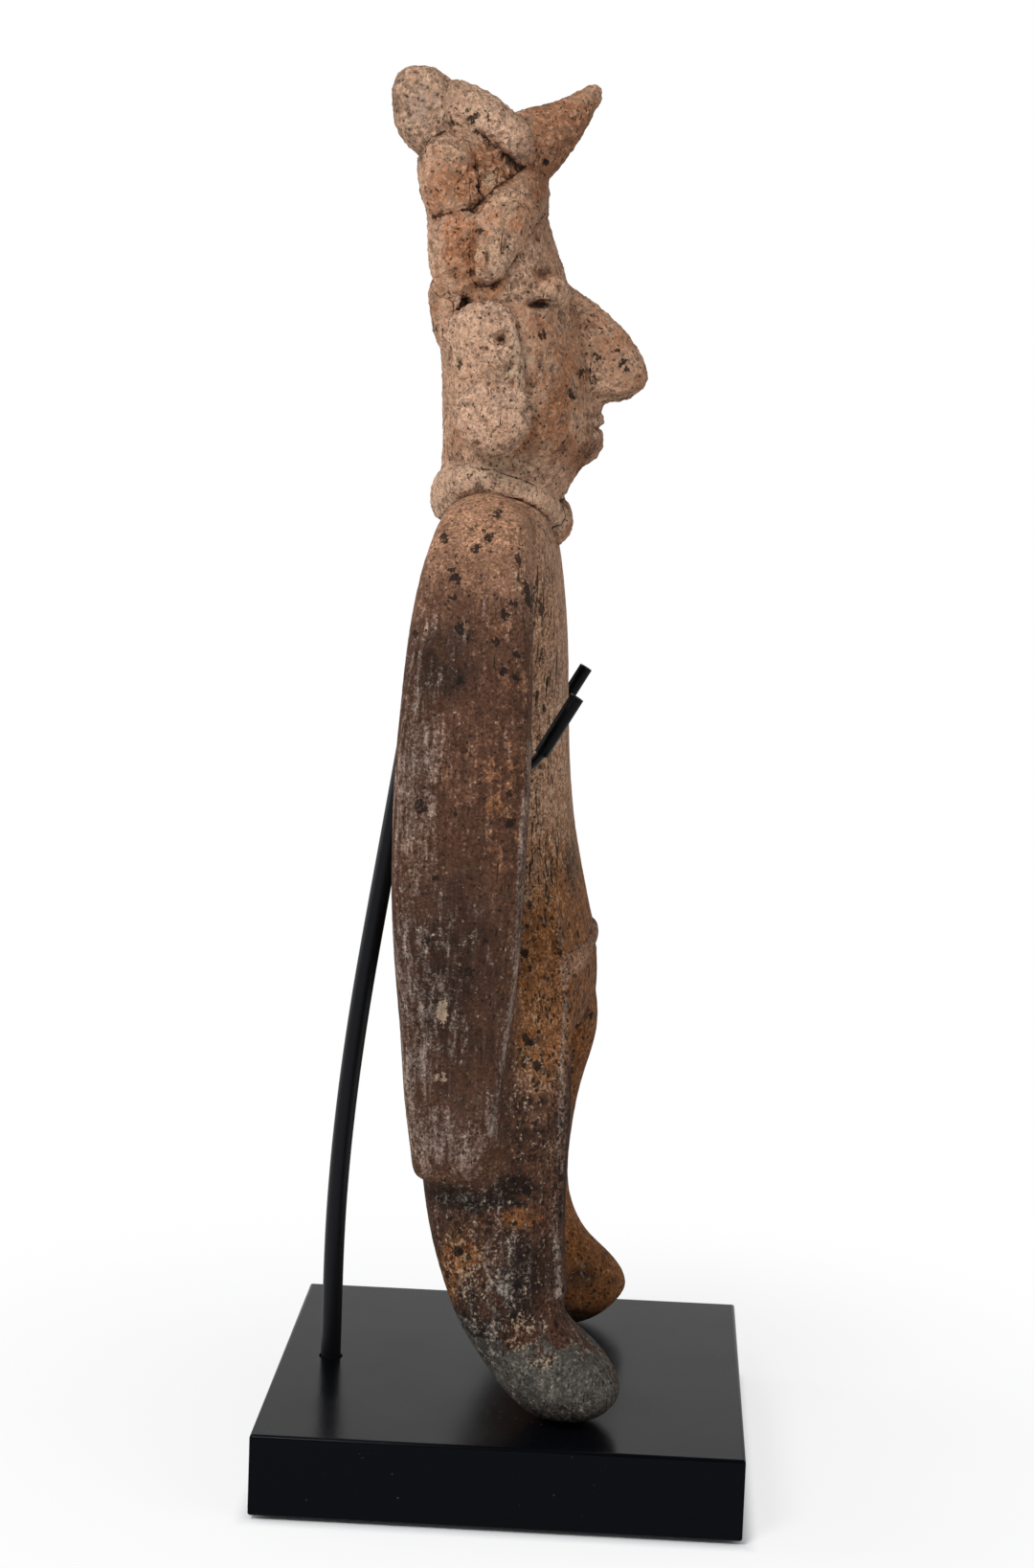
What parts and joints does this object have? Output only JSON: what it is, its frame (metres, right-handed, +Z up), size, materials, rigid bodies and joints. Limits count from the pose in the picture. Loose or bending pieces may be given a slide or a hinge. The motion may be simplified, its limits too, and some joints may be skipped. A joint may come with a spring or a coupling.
{
  "type": "flat clay figure on a display stand",
  "caption": "Hand-built flat clay standing figure with a horned headdress, held by a wire cradle on a bent rod above a black display base.",
  "frame": {"origin": "middle of the stand's underside, on the surface it stands on", "axes": "+Z up; the figure faces -Y and its right side is at -X"},
  "size_m": [0.123, 0.106, 0.3101],
  "materials": {
    "burnished_clay": "burnished brown terracotta with black manganese spots",
    "gritty_clay": "gritty, worn tan terracotta",
    "smoked_clay": "smoke-blackened terracotta with pale crust",
    "black_paint": "satin black paint",
    "black_steel": "satin black",
    "black_tubing": "satin black",
    "black_felt": "matt felt"
  },
  "bodies": {
    "stand_base": {"base_block": "black_paint", "felt_pad": "black_felt"},
    "armature": {"upright_rod": "black_steel", "cradle_wire": "black_steel", "left_prong_sleeve": "black_tubing", "right_prong_sleeve": "black_tubing"},
    "figure": {"torso": "burnished_clay", "belt": "burnished_clay", "right_arm": "burnished_clay", "left_arm": "burnished_clay", "right_leg": "smoked_clay", "left_leg": "smoked_clay", "head": "gritty_clay", "nose": "gritty_clay", "lips": "gritty_clay", "right_eye": "gritty_clay", "left_eye": "gritty_clay", "right_ear": "gritty_clay", "left_ear": "gritty_clay", "right_ear_ornament": "gritty_clay", "left_ear_ornament": "gritty_clay", "necklace": "gritty_clay", "pendant": "gritty_clay", "headband": "gritty_clay", "horn": "gritty_clay", "crest_roll": "gritty_clay", "right_top_roll": "gritty_clay", "left_top_roll": "gritty_clay", "right_upper_lock": "gritty_clay", "left_upper_lock": "gritty_clay", "right_lower_lock": "gritty_clay", "left_lower_lock": "gritty_clay", "right_hair_tail": "gritty_clay", "left_hair_tail": "gritty_clay"}
  },
  "joints": [
    {"name": "rod_lift", "type": "slide", "parent": "stand_base", "child": "armature", "axis": [0, 0, 1], "range_m": [0, 0.03]},
    {"name": "figure_lift", "type": "slide", "parent": "armature", "child": "figure", "axis": [0, -0.5, 0.866], "range_m": [0, 0.075]}
  ]
}
